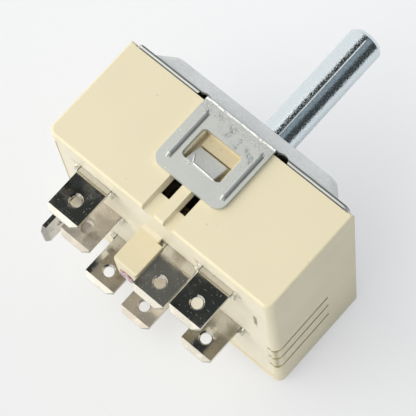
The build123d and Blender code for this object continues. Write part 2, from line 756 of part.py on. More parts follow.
def pole_1_bracket():
    """Terminal 1's arm to the first pole spring."""
    x, z, _, _ = BLADES["terminal_1"]
    left = POLE_PLANE + SPRING_T
    low, high = z - BLADE_T / 2, z + BLADE_T / 2
    end = POLE_START + SPRING_W
    strip = box(left, x + TAIL_HALF, TAIL_END, BASE_FRONT, low, high)
    arm = box(left, left + BRACKET_T, POLE_START, BASE_FRONT, low, high)
    return strip + arm + box(left, left + BRACKET_T, POLE_START, end, low, POLE_1_TOP)


def pole_1_seat():
    """Terminal 2's plate behind the first pole's fixed rivet."""
    x, z, _, _ = BLADES["terminal_2"]
    left = pole_face() + CONTACT_GAP + CONTACT_T
    low = POLE_1_CONTACT_Z - CONTACT_R
    high = z + BLADE_T / 2
    return box(left, left + BRACKET_T, POLE_START, BASE_FRONT, low, high)


def pole_2_bracket():
    """Terminal 7's arm to the second pole spring."""
    x, z, _, _ = BLADES["terminal_7"]
    low = POLE_PLANE + SPRING_T
    high = z + BLADE_T / 2
    left = x - TAIL_HALF
    post = box(left, left + BRACKET_T, POLE_START, BASE_FRONT, low, high)
    foot = box(POLE_2_LEFT, left + BRACKET_T, POLE_START, POLE_START + SPRING_W, low, low + BRACKET_T)
    return post + foot


def pole_2_seat():
    """Terminal 5's arm behind the second pole's fixed rivet."""
    x, z, _, _ = BLADES["terminal_5"]
    low = pole_face() + CONTACT_GAP + CONTACT_T
    right = POLE_2_CONTACT_X + CONTACT_R
    left = POLE_2_CONTACT_X - CONTACT_R
    riser_left = x - TAIL_HALF
    riser = box(riser_left, x + TAIL_HALF, TAIL_END, BASE_FRONT, z, low + BRACKET_T)
    strip = box(riser_left, right, TAIL_END, BASE_FRONT, low, low + BRACKET_T)
    arm = box(left, right, POLE_START, BASE_FRONT, low, low + BRACKET_T)
    return riser + strip + arm


def snap_seat():
    """Terminal 6's plate under the regulating contact's fixed rivet."""
    x, z, _, _ = BLADES["terminal_6"]
    high = SNAP_Z - SPRING_T - CONTACT_GAP - 2 * CONTACT_T
    low = high - BRACKET_T
    left = SNAP_RIGHT - 2 * CONTACT_R
    right = x + TAIL_HALF
    plate = box(left, right, SNAP_START, SNAP_START + SPRING_W, low, high)
    arm = box(x - TAIL_HALF, right, SNAP_START, BASE_FRONT, low, high)
    web = box(x - TAIL_HALF, right, TAIL_END, BASE_FRONT, low, z)
    return plate + arm + web


def snap_bracket():
    """Terminal 8's strip along the base and arm up to the snap spring."""
    x, z, _, _ = BLADES["terminal_8"]
    low = SNAP_Z - SPRING_T - BRACKET_T
    right = SNAP_LEFT + BRACKET_T
    back = BASE_FRONT
    strip = box(SNAP_LEFT, x + TAIL_HALF, TAIL_END, back, z - BLADE_T / 2, z + BLADE_T / 2)
    riser = box(SNAP_LEFT, right, TAIL_END, back, low, z)
    arm = box(SNAP_LEFT, right, SNAP_START, back, low, SNAP_Z - SPRING_T)
    return strip + riser + arm


def make_calibration_screw():
    """Calibration screw in the block, with a slot across its head."""
    head = BLOCK_END - CAL_HEAD_INSET
    screw = rod_y(CAL_X, CAL_Z, CAL_R, CAL_START, head)
    slot = box(CAL_X - CAL_R, CAL_X + CAL_R, head - SHEET, head,
               CAL_Z - SEAL_T, CAL_Z + SEAL_T)
    return screw - slot


def make_seal():
    """Lacquer that locks the calibration screw."""
    return rod_y(CAL_X, CAL_Z, CAL_R, BLOCK_END - CAL_HEAD_INSET, BLOCK_END + SEAL_T)


def make_all():
    """Every separate piece by name."""
    arms = {
        "terminal_1": pole_1_bracket,
        "terminal_2": pole_1_seat,
        "terminal_5": pole_2_seat,
        "terminal_6": snap_seat,
        "terminal_7": pole_2_bracket,
        "terminal_8": snap_bracket,
    }
    pieces = {
        "housing": make_housing(),
        "terminal_base": make_terminal_base(),
        "front_plate": make_front_plate(),
        "bearing_bush": make_bearing_bush(),
        "shaft": make_shaft(),
        "shaft_ring": make_shaft_ring(),
        "control_cam": make_control_cam(),
        "follower_lever": make_follower_lever(),
        "lever_pin": make_lever_pin(),
        "bimetal_strip": make_bimetal(),
        "heater": make_heater(),
        "push_bead": make_push_bead(),
        "snap_spring": make_snap_spring(),
        "snap_contact": make_snap_contact(),
        "pole_spring_1": make_pole_spring_1(),
        "pole_contact_1": make_pole_contact_1(),
        "pole_spring_2": make_pole_spring_2(),
        "pole_contact_2": make_pole_contact_2(),
        "fixed_contacts": make_fixed_contacts(),
        "calibration_screw": make_calibration_screw(),
        "seal": make_seal(),
    }
    for name in BLADES:
        piece = placed_blade(name)
        if name in arms:
            piece += arms[name]()
        pieces[name] = piece
    return pieces


os.makedirs("parts", exist_ok=True)
for piece_name, piece in make_all().items():
    export_step(piece, f"parts/{piece_name}.step")
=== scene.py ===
import json
from math import cos, radians, sin

import bpy
from bpy.props import FloatProperty, FloatVectorProperty, PointerProperty
from mathutils import Matrix, Vector


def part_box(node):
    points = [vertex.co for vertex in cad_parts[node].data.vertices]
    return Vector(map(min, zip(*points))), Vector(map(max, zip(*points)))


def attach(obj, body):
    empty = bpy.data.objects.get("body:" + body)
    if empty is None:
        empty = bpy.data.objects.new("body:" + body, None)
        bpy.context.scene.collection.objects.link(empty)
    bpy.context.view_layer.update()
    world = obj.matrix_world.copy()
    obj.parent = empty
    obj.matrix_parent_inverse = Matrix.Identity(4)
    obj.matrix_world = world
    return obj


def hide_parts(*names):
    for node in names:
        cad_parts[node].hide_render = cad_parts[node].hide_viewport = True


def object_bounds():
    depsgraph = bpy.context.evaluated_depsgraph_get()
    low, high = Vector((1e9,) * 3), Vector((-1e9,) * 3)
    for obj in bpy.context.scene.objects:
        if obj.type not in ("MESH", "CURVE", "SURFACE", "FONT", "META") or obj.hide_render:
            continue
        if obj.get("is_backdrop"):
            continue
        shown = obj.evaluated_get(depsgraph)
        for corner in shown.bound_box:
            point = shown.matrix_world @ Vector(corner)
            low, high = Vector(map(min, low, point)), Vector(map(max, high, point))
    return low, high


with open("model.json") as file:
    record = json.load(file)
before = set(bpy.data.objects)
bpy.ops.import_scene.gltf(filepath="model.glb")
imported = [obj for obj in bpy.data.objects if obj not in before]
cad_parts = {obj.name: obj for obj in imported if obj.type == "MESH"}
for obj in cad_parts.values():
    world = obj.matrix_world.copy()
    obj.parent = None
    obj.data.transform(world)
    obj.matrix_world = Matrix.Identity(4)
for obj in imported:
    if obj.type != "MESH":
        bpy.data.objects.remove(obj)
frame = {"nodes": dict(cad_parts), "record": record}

bl_info = {
    "name": "Cooktop element switch",
    "version": (1, 0, 0),
    "blender": (4, 5, 0),
    "location": "3D View > Sidebar > Switch",
    "description": "Dresses the packed cooktop element switch and sets its stage",
    "category": "Object",
}

MM = 0.001
MERGE = 1e-6
FLAT_ANGLE = radians(0.4)
SMOOTH_ANGLE = radians(12)
BEVEL_ANGLE = radians(38)
BEVEL_SEGMENTS = 2
FACE_WEIGHT = 100

# Camera, in millimetres of the row frame, fitted to the photograph's straight edges
IMAGE_SIZE = 416
FOCAL_PIXELS = 2092.3
SENSOR_MM = 36.0
CAMERA_MM = (-92.88, 82.65, 316.81)
CAMERA_RIGHT = (-0.74684, -0.66088, -0.07385)
CAMERA_UP = (0.60442, -0.72092, 0.33904)
CAMERA_BACK = (-0.27731, 0.20857, 0.93787)
CAMERA_NEAR = 0.01

# Studio: a bright and a dim side, and a dark wall with a grey patch that metal mirrors
BRIGHT_SIDE = (0.66, 0.72, 0.2)
BRIGHT_OUTER = 140
BRIGHT_INNER = 60
SOFT_COLOUR = (0.95, 0.98, 1.0)
DIM_COLOUR = (0.42, 0.47, 0.55)
SOFT_STRENGTH = 0.70
ROOM_COLOUR = (1.0, 1.0, 1.0)
ROOM_DIM_COLOUR = (0.40, 0.43, 0.46)
DARK_TOWARD = (-0.68, -0.20, 0.70)
DARK_INNER = 65
DARK_OUTER = 68
DARK_COLOUR = (0.052, 0.060, 0.060)
GREY_TOWARD = (-0.40, -0.33, 0.855)
GREY_INNER = 5
GREY_OUTER = 24
GREY_COLOUR = (0.31, 0.37, 0.41)
STUDIO_STRENGTH = 0.9
BACKDROP_COLOUR = (1.0, 1.0, 1.0, 1.0)
BACKDROP_STRENGTH = 0.95

# Paper that the part lies on
PAPER_SIZE = 3
PAPER_GAP = 0.02 * MM
PAPER_COLOUR = (0.86, 0.87, 0.88)
PAPER_GLOW = (0.95, 0.95, 0.96)
PAPER_DIM_GLOW = (0.74, 0.74, 0.74)
PAPER_FADE = (-30 * MM, 90 * MM)
PAPER_SHARE = 0.5

# Key lamp, in metres and watts
KEY_PLACE = (0.436, 0.53, 0.727)
KEY_TARGET = (0, 0, 0)
KEY_WATTS = 10.3
KEY_SIZE = 1.3
KEY_COLOUR = (1.0, 0.97, 0.90)

# Values whose names end in _MM are millimetres, and places are in the row frame.
# A marked line is its two ends, half its width, and its wobble.
FAR_MM = 30
MARGIN_MM = 1

# Dirt and painted shade on the mouldings
# The grease colour is grime at the blades' roots and also painted shade in the vent grooves and catch
# pockets; the near-black after it is painted shade inside the case.
GREASE_AND_SHADE = (0.36, 0.27, 0.13)
INSIDE_SHADE = (0.03, 0.026, 0.02)
GRIME = (0.16, 0.13, 0.09)
SKIN_MM = 0.1
VENT_START_MM = 8
VENT_DEPTH_MM = 2.4
VENT_LEVELS_MM = (-14.3, -3.9)
POCKET_HALF_MM = 3.7
POCKET_Y_MM = (6.9, 13.2)
POCKET_DEPTHS_MM = (2.2, 0.25)
HOLLOW_HALF_MM = 4.2
HOLLOW_Y_MM = (6.4, 13.7)
HOLLOW_DEPTH_MM = 6.0
END_WALL_MM = 1.1
BACK_WALL_MM = 3.2
BROAD_WALL_MM = 1.3

# Base: grime at the blades' roots, and the calibration block with its lacquer
ROOT_WIDTH_MM = 1.5
ROOT_WOBBLE_MM = 1.2
BLOCK_OUT_MM = 0.4
BLOCK_TONE = (0.69, 0.615, 0.42)
LACQUER_GROUND = (0.62, 0.52, 0.40)

# Blades
BLADE_STAIN = (0.20, 0.17, 0.12)
HAZE = {"terminal_2": 0.5, "terminal_5": 0.14, "terminal_6": 0.4}
# Tan of the most hazed blades: haze, and partly a painted reflection of the cream case and blade above
# them.
HAZE_AND_REFLECTION_TONE = (0.59, 0.54, 0.47)
TAN_HAZE = 0.3
BLADE_HALF_MM = 3.17
BLADE_END_MM = 3.0
EAR_REACH_MM = 4.4
EAR_OUT_MM = 1.5
# Painted highlight: pale tone of the lock ears for their bright curled hooks.
EAR_HIGHLIGHT_TONE = (0.80, 0.79, 0.72)
TIP_MM = 0.95
TIP_SHADE = 0.62

# Painted highlight: a bright line along the shaft
SHAFT_RADIUS_MM = 3.175
SHAFT_HIGHLIGHT_DEGREES = 102
SHAFT_HIGHLIGHT_START_MM = 1.6
SHAFT_HIGHLIGHT_WIDTH_MM = 0.16
SHAFT_HIGHLIGHT_WOBBLE_MM = 0.04

# Zinc plate: colours, and the places of its marks with heights from the clip's face
ZINC_METAL = 0.55
PLATEAU_METAL = 0.15
ZINC_SMUDGE = (0.26, 0.29, 0.31)
# This white is real wear and dust, and also painted light on the plateau and tongue and painted
# highlights at the fold and along the shaft.
WEAR_AND_HIGHLIGHT_WHITE = (0.98, 0.98, 0.96)
# This black is the sheared edge's fracture band, and also painted shadows beside the beads, a painted gap
# shadow and painted shade in the notches.
SHADE_AND_EDGE_BLACK = (0.02, 0.02, 0.02)
SHEET_MM = 0.8
PLATEAU_Y_MM = 2.7
TONGUE_MM = ((-2.85, 7.5, -4.0), (3.0, 13.1, 1.0))
SMUDGES_MM = (
    ((2.6, 4.4, 0.0), (-3.9, 6.7, 0.0), 1.9, 1.5),
    ((6.3, 4.4, 0.0), (4.6, 6.4, 0.0), 1.0, 0.8),
    ((-5.0, 5.6, 0.0), (-5.2, 8.6, 0.0), 1.0, 0.8),
)
SCRATCHES_MM = (
    ((2.24, 11.4, -0.6), (1.5, 12.6, -0.1), 0.27, 0.15),
    ((1.5, 12.6, -0.1), (1.95, 13.2, 0.0), 0.24, 0.15),
    ((1.5, 12.6, -0.1), (-3.0, 12.75, 0.0), 0.24, 0.25),
)

# Lines and shades that both clips have
CLIP_HALF_MM = 6.97
# The fold line and the flecked line beside it are bright wear and partly a painted highlight of the bend.
FOLD_MM = ((-CLIP_HALF_MM, 3.08, 0.0), (CLIP_HALF_MM, 3.08, 0.0), 0.33, 0.35)
FLECKED_MM = ((-CLIP_HALF_MM, 4.08, 0.0), (CLIP_HALF_MM, 4.08, 0.0), 1.2, 0.3)
BEADS_MM = ((-CLIP_HALF_MM, 4.5, 0.02), (CLIP_HALF_MM, 15.5, 2.0))
BEAD_SHADOWS_MM = (
    ((4.76, 5.2, 0.0), (4.76, 14.2, 0.0), 0.26, 0.06),
    ((-6.29, 5.2, 0.0), (-6.29, 14.2, 0.0), 0.26, 0.06),
)
# The sheared edge's burnished and fracture bands; the outer dark line is a painted gap shadow.
SHEARED_LINES = (
    (((-FAR_MM, 3.52, -SHEET_MM), (FAR_MM, 3.52, -SHEET_MM), 0.2, 0.05), SHADE_AND_EDGE_BLACK),
    (((-FAR_MM, 3.25, -SHEET_MM), (FAR_MM, 3.25, -SHEET_MM), 0.12, 0.05), WEAR_AND_HIGHLIGHT_WHITE),
    (((-FAR_MM, 2.92, -SHEET_MM), (FAR_MM, 2.92, -SHEET_MM), 0.2, 0.05), SHADE_AND_EDGE_BLACK),
)
# Painted shade: the notches are painted black where the case's dark inside shows through.
NOTCHES_MM = (
    ((6.1, 2.85, -SHEET_MM - 2.3), (8.9, 4.0, -SHEET_MM - 0.05)),
    ((-9.6, 2.85, -SHEET_MM - 2.3), (-6.8, 4.0, -SHEET_MM - 0.05)),
)

# Pieces inside the case: finish, colour, metallic, roughness and nodes
MECHANISM = (
    ("Turned steel", (0.50, 0.50, 0.48), 1.0, 0.3, ("bearing_bush", "lever_pin", "follower_lever")),
    ("Spring steel", (0.12, 0.12, 0.13), 1.0, 0.35, ("shaft_ring",)),
    ("Cam moulding", (0.10, 0.06, 0.035), 0.0, 0.45, ("control_cam",)),
    ("Bimetal", (0.45, 0.40, 0.33), 1.0, 0.3, ("bimetal_strip",)),
    ("Heater card", (0.42, 0.30, 0.15), 0.0, 0.5, ("heater",)),
    ("Ceramic", (0.75, 0.73, 0.68), 0.0, 0.4, ("push_bead",)),
    ("Spring bronze", (0.62, 0.40, 0.18), 1.0, 0.25, ("snap_spring", "pole_spring_1", "pole_spring_2")),
    ("Contact silver", (0.80, 0.79, 0.75), 1.0, 0.25,
     ("snap_contact", "pole_contact_1", "pole_contact_2", "fixed_contacts")),
    ("Screw brass", (0.66, 0.50, 0.22), 1.0, 0.3, ("calibration_screw",)),
)


class SwitchColours(bpy.types.PropertyGroup):
    """Colours of the visible finishes."""

    moulding: FloatVectorProperty(
        name="Case", description="Cream of the moulded case", subtype="COLOR",
        default=(0.80, 0.715, 0.50), min=0, max=1)
    base: FloatVectorProperty(
        name="Base", description="Cream of the terminal base", subtype="COLOR",
        default=(0.78, 0.715, 0.56), min=0, max=1)
    zinc: FloatVectorProperty(
        name="Plate", description="Zinc plating of the front plate", subtype="COLOR",
        default=(0.665, 0.68, 0.65), min=0, max=1)
    shaft: FloatVectorProperty(
        name="Shaft", description="Bright plating of the shaft", subtype="COLOR",
        default=(0.78, 0.85, 0.88), min=0, max=1)
    blade: FloatVectorProperty(
        name="Blades", description="Plating of the blade terminals", subtype="COLOR",
        default=(0.56, 0.54, 0.49), min=0, max=1)
    lacquer: FloatVectorProperty(
        name="Lacquer", description="Lacquer on the calibration screw", subtype="COLOR",
        default=(0.30, 0.12, 0.22), min=0, max=1)


class SwitchSizes(bpy.types.PropertyGroup):
    """Sizes of the details that the dressing adds."""

    moulded_edge: FloatProperty(
        name="Moulded edge", description="Rounding of the mouldings' small edges",
        default=0.10 * MM, min=0, unit="LENGTH")
    stamped_edge: FloatProperty(
        name="Stamped edge", description="Rounding of the sheet metal's edges",
        default=0.10 * MM, min=0, unit="LENGTH")


def clear_selection():
    """Leaves nothing selected."""
    if bpy.context.object and bpy.context.object.mode != "OBJECT":
        bpy.ops.object.mode_set(mode="OBJECT")
    bpy.ops.object.select_all(action="DESELECT")


def make_active(piece):
    """Selects one object alone."""
    clear_selection()
    piece.select_set(True)
    bpy.context.view_layer.objects.active = piece


def apply_bevel(piece, width):
    """Rounds the sharp edges of a piece."""
    make_active(piece)
    bevel = piece.modifiers.new("edges", "BEVEL")
    bevel.width = width
    bevel.segments = BEVEL_SEGMENTS
    bevel.limit_method = "ANGLE"
    bevel.angle_limit = BEVEL_ANGLE
    bpy.ops.object.modifier_apply(modifier=bevel.name)


def smooth(piece):
    """Shades curves smoothly and keeps the large flat faces flat."""
    make_active(piece)
    bpy.ops.object.shade_smooth_by_angle(angle=SMOOTH_ANGLE)
    weighted = piece.modifiers.new("normals", "WEIGHTED_NORMAL")
    weighted.weight = FACE_WEIGHT
    weighted.keep_sharp = True
    bpy.ops.object.modifier_apply(modifier=weighted.name)


def copy_node(node, name, width):
    """Piece with the CAD node's shape, merged, with rounded edges and smooth curves."""
    piece = bpy.data.objects.new(name, frame["nodes"][node].data.copy())
    bpy.context.scene.collection.objects.link(piece)
    make_active(piece)
    bpy.ops.mesh.customdata_custom_splitnormals_clear()
    bpy.ops.object.mode_set(mode="EDIT")
    bpy.ops.mesh.select_all(action="SELECT")
    bpy.ops.mesh.remove_doubles(threshold=MERGE)
    bpy.ops.mesh.dissolve_limited(angle_limit=FLAT_ANGLE)
    bpy.ops.object.mode_set(mode="OBJECT")
    if width:
        apply_bevel(piece, width)
    smooth(piece)
    return piece


def wear(piece, material):
    """Gives a piece one material."""
    piece.data.materials.clear()
    piece.data.materials.append(material)


def body_of(node):
    """Name of the body that a CAD node belongs to."""
    for body, nodes in frame["record"]["behaviour"]["bodies"].items():
        if node in nodes:
            return body
    raise ValueError("no body holds " + node)


def blade_nodes():
    """Names of the eight blade terminals."""
    return [node for node in sorted(frame["nodes"])
            if node.startswith("terminal_") and node != "terminal_base"]


def dress_node(node, material, width):
    """Stands a finished copy in for a CAD node."""
    piece = copy_node(node, node + "_finished", width)
    wear(piece, material)
    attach(piece, body_of(node))
    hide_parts(node)


def add(tree, kind, **settings):
    """New shader node with some settings."""
    node = tree.nodes.new(kind)
    for name, value in settings.items():
        setattr(node, name, value)
    return node


def feed(tree, node, **values):
    """Sets or links a node's inputs by name, with underscores for spaces."""
    for name, value in values.items():
        socket = node.inputs[name.replace("_", " ")]
        if isinstance(value, bpy.types.NodeSocket):
            tree.links.new(value, socket)
        else:
            socket.default_value = value
    return node


def plugged(tree, node, values):
    """Sets or links a node's inputs in their order."""
    for socket, value in zip(node.inputs, values):
        if isinstance(value, bpy.types.NodeSocket):
            tree.links.new(value, socket)
        else:
            socket.default_value = value
    return node


def maths(tree, operation, first, second):
    """Result of one operation on two numbers or sockets."""
    node = add(tree, "ShaderNodeMath", operation=operation)
    return plugged(tree, node, (first, second)).outputs["Value"]


def vector_maths(tree, operation, first, second):
    """Result of one operation on two vectors: a vector, or a number where it gives one."""
    node = add(tree, "ShaderNodeVectorMath", operation=operation)
    number = operation in ("DOT_PRODUCT", "DISTANCE")
    return plugged(tree, node, (first, second)).outputs["Value" if number else "Vector"]


def cut(tree, value, low, high, **settings):
    """Mask that goes from 0 to 1 between two levels of a value."""
    node = add(tree, "ShaderNodeMapRange", **settings)
    return feed(tree, node, Value=value, From_Min=low, From_Max=high).outputs["Result"]


def mixed(tree, mask, first, second):
    """Colour that goes from first to second where the mask is 1."""
    node = add(tree, "ShaderNodeMix", data_type="RGBA")
    tree.links.new(mask, node.inputs["Factor"])
    for socket, colour in zip(node.inputs[6:8], (first, second)):
        if isinstance(colour, bpy.types.NodeSocket):
            tree.links.new(colour, socket)
        else:
            socket.default_value = (*colour[:3], 1)
    return node.outputs[2]


def new_group(name, **inputs):
    """Empty node group that takes a place and some inputs, vectors or numbers, and gives a mask."""
    tree = bpy.data.node_groups.new(name, "ShaderNodeTree")
    for label, default in {"Vector": (0, 0, 0), **inputs}.items():
        kind = "NodeSocketVector" if isinstance(default, tuple) else "NodeSocketFloat"
        socket = tree.interface.new_socket(label, in_out="INPUT", socket_type=kind)
        socket.default_value = default
    tree.interface.new_socket("Mask", in_out="OUTPUT", socket_type="NodeSocketFloat")
    return tree, tree.nodes.new("NodeGroupInput"), tree.nodes.new("NodeGroupOutput")


def mottle_group():
    """Soft patches: noise cut between two levels."""
    tree, start, end = new_group("Patches", Scale=100, Low=0.4, High=0.6, Detail=4)
    noise = add(tree, "ShaderNodeTexNoise")
    feed(tree, noise, Vector=start.outputs["Vector"], Scale=start.outputs["Scale"],
         Detail=start.outputs["Detail"])
    mask = cut(tree, noise.outputs["Fac"], start.outputs["Low"], start.outputs["High"])
    tree.links.new(mask, end.inputs["Mask"])


def speck_group():
    """Small round specks scattered over the surface."""
    tree, start, end = new_group("Specks", Scale=400, Size=0.12, Share=0.2)
    cells = add(tree, "ShaderNodeTexVoronoi")
    feed(tree, cells, Vector=start.outputs["Vector"], Scale=start.outputs["Scale"])
    near = maths(tree, "LESS_THAN", cells.outputs["Distance"], start.outputs["Size"])
    split = add(tree, "ShaderNodeSeparateColor")
    tree.links.new(cells.outputs["Color"], split.inputs["Color"])
    chosen = maths(tree, "LESS_THAN", split.outputs["Red"], start.outputs["Share"])
    tree.links.new(maths(tree, "MULTIPLY", near, chosen), end.inputs["Mask"])


def scratch_group():
    """Fine lines along one direction: noise squeezed across it."""
    tree, start, end = new_group("Scratches", Stretch=(1, 1, 1), Scale=400, Low=0.6, High=0.75)
    squeezed = vector_maths(tree, "MULTIPLY", start.outputs["Vector"], start.outputs["Stretch"])
    noise = add(tree, "ShaderNodeTexNoise")
    feed(tree, noise, Vector=squeezed, Scale=start.outputs["Scale"], Detail=3.0)
    mask = cut(tree, noise.outputs["Fac"], start.outputs["Low"], start.outputs["High"])
    tree.links.new(mask, end.inputs["Mask"])


def line_group():
    """Line between two points, with a soft edge and an uneven course."""
    tree, start, end = new_group("Line", Start=(0, 0, 0), End=(0, 0, 0), Width=0.1 * MM,
                                 Wobble=0.05 * MM, Scale=600)
    noise = add(tree, "ShaderNodeTexNoise")
    feed(tree, noise, Vector=start.outputs["Vector"], Scale=start.outputs["Scale"])
    centred = vector_maths(tree, "SUBTRACT", noise.outputs["Color"], (0.5, 0.5, 0.5))
    shifted = add(tree, "ShaderNodeVectorMath", operation="SCALE")
    feed(tree, shifted, Vector=centred, Scale=start.outputs["Wobble"])
    place = vector_maths(tree, "ADD", start.outputs["Vector"], shifted.outputs["Vector"])
    from_start = vector_maths(tree, "SUBTRACT", place, start.outputs["Start"])
    whole = vector_maths(tree, "SUBTRACT", start.outputs["End"], start.outputs["Start"])
    share = maths(tree, "DIVIDE", vector_maths(tree, "DOT_PRODUCT", from_start, whole),
                  vector_maths(tree, "DOT_PRODUCT", whole, whole))
    share.node.use_clamp = True
    nearest = add(tree, "ShaderNodeVectorMath", operation="SCALE")
    feed(tree, nearest, Vector=whole, Scale=share)
    away = vector_maths(tree, "DISTANCE", from_start, nearest.outputs["Vector"])
    mask = cut(tree, away, start.outputs["Width"], 0.0, interpolation_type="SMOOTHSTEP")
    tree.links.new(mask, end.inputs["Mask"])


def region_group():
    """Inside of a box between two corners, with soft edges."""
    tree, start, end = new_group("Region", Low=(0, 0, 0), High=(0, 0, 0), Soft=0.1 * MM)
    above = vector_maths(tree, "SUBTRACT", start.outputs["Vector"], start.outputs["Low"])
    below = vector_maths(tree, "SUBTRACT", start.outputs["High"], start.outputs["Vector"])
    depth = vector_maths(tree, "MINIMUM", above, below)
    parts = add(tree, "ShaderNodeSeparateXYZ")
    tree.links.new(depth, parts.inputs["Vector"])
    least = maths(tree, "MINIMUM", parts.outputs["X"], parts.outputs["Y"])
    least = maths(tree, "MINIMUM", least, parts.outputs["Z"])
    mask = maths(tree, "DIVIDE", least, start.outputs["Soft"])
    mask.node.use_clamp = True
    tree.links.new(mask, end.inputs["Mask"])


class Finish:
    """A material being built: its tree, Principled shader and object coordinates."""

    def __init__(self, name):
        self.material = bpy.data.materials.new(name)
        self.material.use_nodes = True
        self.tree = self.material.node_tree
        self.tree.nodes.clear()
        self.shader = add(self.tree, "ShaderNodeBsdfPrincipled")
        self.output = add(self.tree, "ShaderNodeOutputMaterial")
        self.tree.links.new(self.shader.outputs["BSDF"], self.output.inputs["Surface"])
        self.place = add(self.tree, "ShaderNodeTexCoord").outputs["Object"]

    def mask(self, group, **values):
        """Output of one of the effect groups."""
        node = add(self.tree, "ShaderNodeGroup", node_tree=bpy.data.node_groups[group])
        feed(self.tree, node, Vector=self.place, **values)
        return node.outputs["Mask"]

    def scaled(self, mask, amount):
        """Mask times a number or another mask."""
        return maths(self.tree, "MULTIPLY", mask, amount)

    def either(self, *masks):
        """The greatest of some masks."""
        result = masks[0]
        for mask in masks[1:]:
            result = maths(self.tree, "MAXIMUM", result, mask)
        return result

    def line(self, first, last, width, wobble, top=0.0):
        """Mask of a line between two points in millimetres, with heights from a level."""
        return self.mask("Line", Start=metres(first, top), End=metres(last, top),
                         Width=width * MM, Wobble=wobble * MM)

    def region(self, low, high, soft, top=0.0):
        """Mask of the inside of a box in millimetres, with heights from a level."""
        return self.mask("Region", Low=metres(low, top), High=metres(high, top), Soft=soft * MM)

    def folded(self, level):
        """Makes the later marks appear on both broad faces, alike about a level in millimetres."""
        parts = add(self.tree, "ShaderNodeSeparateXYZ")
        self.tree.links.new(self.place, parts.inputs["Vector"])
        height = maths(self.tree, "SUBTRACT", parts.outputs["Z"], level * MM)
        away = maths(self.tree, "ABSOLUTE", height, 0)
        joined = add(self.tree, "ShaderNodeCombineXYZ")
        feed(self.tree, joined, X=parts.outputs["X"], Y=parts.outputs["Y"],
             Z=maths(self.tree, "ADD", away, level * MM))
        self.place = joined.outputs["Vector"]

    def blend(self, mask, first, second):
        """Colour that goes from first to second where the mask is 1."""
        return mixed(self.tree, mask, first, second)

    def tint(self, tone, mask, colour, share):
        """Tone with some share of another colour where the mask is 1."""
        return self.blend(self.scaled(mask, share), tone, colour)

    def between(self, mask, low, high):
        """Value that goes from low to high where the mask is 1."""
        node = add(self.tree, "ShaderNodeMapRange")
        feed(self.tree, node, Value=mask, To_Min=low, To_Max=high)
        return node.outputs["Result"]

    def bump(self, height, strength, distance):
        """Feeds a bump of this height, in metres, to the shader."""
        node = add(self.tree, "ShaderNodeBump")
        feed(self.tree, node, Height=height, Strength=strength, Distance=distance)
        if self.shader.inputs["Normal"].is_linked:
            earlier = self.shader.inputs["Normal"].links[0].from_socket
            self.tree.links.new(earlier, node.inputs["Normal"])
        self.tree.links.new(node.outputs["Normal"], self.shader.inputs["Normal"])

    def set(self, **values):
        """Sets or links the shader's inputs."""
        feed(self.tree, self.shader, **values)


def metres(point, top=0.0):
    """Point in millimetres, its height from a level, in metres."""
    x, y, z = point
    return (x * MM, y * MM, (z + top) * MM)


def corners(node):
    """Low and high corner of a CAD node, in millimetres."""
    return [tuple(part / MM for part in corner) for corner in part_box(node)]


def darker(colour, amount):
    """Colour times a number."""
    return tuple(part * amount for part in colour[:3])


def moulding_finish(name, colour):
    """Satin thermoset: faint clouds, flecks of filler and a fine grain, and its holes in shade."""
    finish = Finish(name)
    clouds = finish.mask("Patches", Scale=90.0, Low=0.35, High=0.7, Detail=5.0)
    flecks = finish.mask("Specks", Scale=900.0, Size=0.16, Share=0.05)
    grain = finish.mask("Patches", Scale=2600.0, Low=0.3, High=0.7, Detail=2.0)
    tone = finish.tint(colour, clouds, darker(colour, 0.93), share=0.4)
    tone = finish.tint(tone, flecks, darker(colour, 0.5), share=0.3)
    tone = shaded_holes(finish, tone)
    finish.set(Base_Color=tone, Roughness=finish.between(clouds, 0.38, 0.5), IOR=1.5)
    finish.bump(grain, strength=0.25, distance=0.02 * MM)
    return finish


def shaded_holes(finish, tone):
    """Painted shade that darkens the vent grooves and the walls inside, and painted shade with grime in
    the catch pockets.
    """
    low, high = corners("housing")
    vents = finish.region((low[0] + SKIN_MM, VENT_START_MM, VENT_LEVELS_MM[0]),
                          (low[0] + VENT_DEPTH_MM, high[1] - SKIN_MM, VENT_LEVELS_MM[1]), soft=0.3)
    # Painted shade in the vent grooves.
    tone = finish.tint(tone, vents, GREASE_AND_SHADE, share=0.75)
    plain = finish.place
    finish.folded((low[2] + high[2]) / 2)
    pocket = finish.region((-POCKET_HALF_MM, POCKET_Y_MM[0], -POCKET_DEPTHS_MM[0]),
                           (POCKET_HALF_MM, POCKET_Y_MM[1], -POCKET_DEPTHS_MM[1]), soft=0.5, top=high[2])
    # Painted shade, with some grime, in the catch pocket under the window.
    tone = finish.tint(tone, pocket, GREASE_AND_SHADE, share=0.45)
    far_corner = (high[0] - END_WALL_MM, high[1] - BACK_WALL_MM, high[2] - BROAD_WALL_MM)
    inside = finish.region((low[0] + END_WALL_MM, 0, low[2]), far_corner, soft=0.4)
    hollow = finish.region((-HOLLOW_HALF_MM, HOLLOW_Y_MM[0], -HOLLOW_DEPTH_MM),
                           (HOLLOW_HALF_MM, HOLLOW_Y_MM[1], MARGIN_MM), soft=0.2, top=high[2])
    finish.place = plain
    # Painted shade on the walls inside the case, left off in the hollow under the clip's window.
    return finish.tint(tone, inside, INSIDE_SHADE, share=finish.between(hollow, 0.97, 0.0))


def blade_middle(node):
    """Middle of a blade's free end, across the case and up, in millimetres."""
    cad = frame["nodes"][node]
    places = [cad.matrix_world @ vertex.co / MM for vertex in cad.data.vertices]
    end = max(place.y for place in places)
    near = [place for place in places if place.y > end - BLADE_END_MM]
    across = [place.x for place in near]
    up = [place.z for place in near]
    return (min(across) + max(across)) / 2, (min(up) + max(up)) / 2


def lies_flat(node):
    """Whether a blade is wider across the case than it is high."""
    low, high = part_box(node)
    return high[2] - low[2] < high[0] - low[0]


